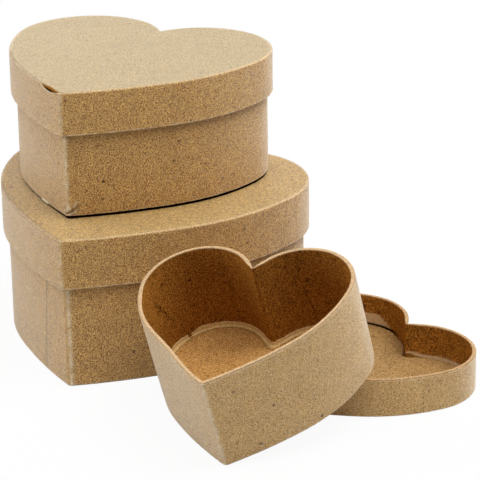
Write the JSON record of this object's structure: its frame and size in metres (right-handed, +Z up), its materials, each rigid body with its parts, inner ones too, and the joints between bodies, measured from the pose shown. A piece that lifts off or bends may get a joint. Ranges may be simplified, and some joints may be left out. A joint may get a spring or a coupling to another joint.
{
  "type": "lidded heart box set",
  "caption": "Nesting heart-shaped kraft board gift boxes with lift-off lids: larger ones closed and stacked, the smallest open and leaning on its upturned lid.",
  "frame": {"origin": "middle of the large box's base, on the floor, midway between the centres of its two lobes", "axes": "+Z up; -Y from the origin to the large heart's point and +Y to its cleft; +X to the side where the small box and its lid lie"},
  "size_m": [0.2462, 0.1961, 0.1321],
  "materials": {
    "kraft_board": "matt bare kraft board, finely speckled with darker fibres",
    "kraft_paper": "matt kraft facing paper, glued on, worn pale along the edges",
    "paper_tape": "matt pale paper tape, creased"
  },
  "bodies": {
    "large_box": {"large_wall": "kraft_board", "large_cleft_wall": "kraft_board", "large_base": "kraft_board", "large_cove_tape": "paper_tape", "large_wall_paper": "kraft_paper"},
    "large_lid": {"large_lid_band": "kraft_board", "large_lid_cleft_band": "kraft_board", "large_lid_top": "kraft_board", "large_lid_paper": "kraft_paper"},
    "medium_box": {"medium_wall": "kraft_board", "medium_cleft_wall": "kraft_board", "medium_base": "kraft_board", "medium_cove_tape": "paper_tape", "medium_wall_paper": "kraft_paper"},
    "medium_lid": {"medium_lid_band": "kraft_board", "medium_lid_cleft_band": "kraft_board", "medium_lid_top": "kraft_board", "medium_lid_paper": "kraft_paper"},
    "small_box": {"small_wall": "kraft_board", "small_cleft_wall": "kraft_board", "small_base": "kraft_board", "small_cove_tape": "paper_tape", "small_wall_paper": "kraft_paper"},
    "small_lid": {"small_lid_band": "kraft_board", "small_lid_cleft_band": "kraft_board", "small_lid_top": "kraft_board", "small_lid_paper": "kraft_paper"}
  },
  "joints": [
    {"name": "large_lid_lift", "type": "slide", "parent": "large_box", "child": "large_lid", "axis": [0, 0, 1], "range_m": [0, 0.06]},
    {"name": "medium_box_lift", "type": "slide", "parent": "large_lid", "child": "medium_box", "axis": [0, 0, 1], "range_m": [0, 0.06]},
    {"name": "medium_lid_lift", "type": "slide", "parent": "medium_box", "child": "medium_lid", "axis": [0, 0, 1], "range_m": [0, 0.06]},
    {"name": "small_lid_lift", "type": "slide", "parent": "large_box", "child": "small_lid", "axis": [0, 0, 1], "range_m": [0, 0.06]},
    {"name": "small_box_lift", "type": "slide", "parent": "small_lid", "child": "small_box", "axis": [0, 0, 1], "range_m": [0, 0.06]}
  ]
}
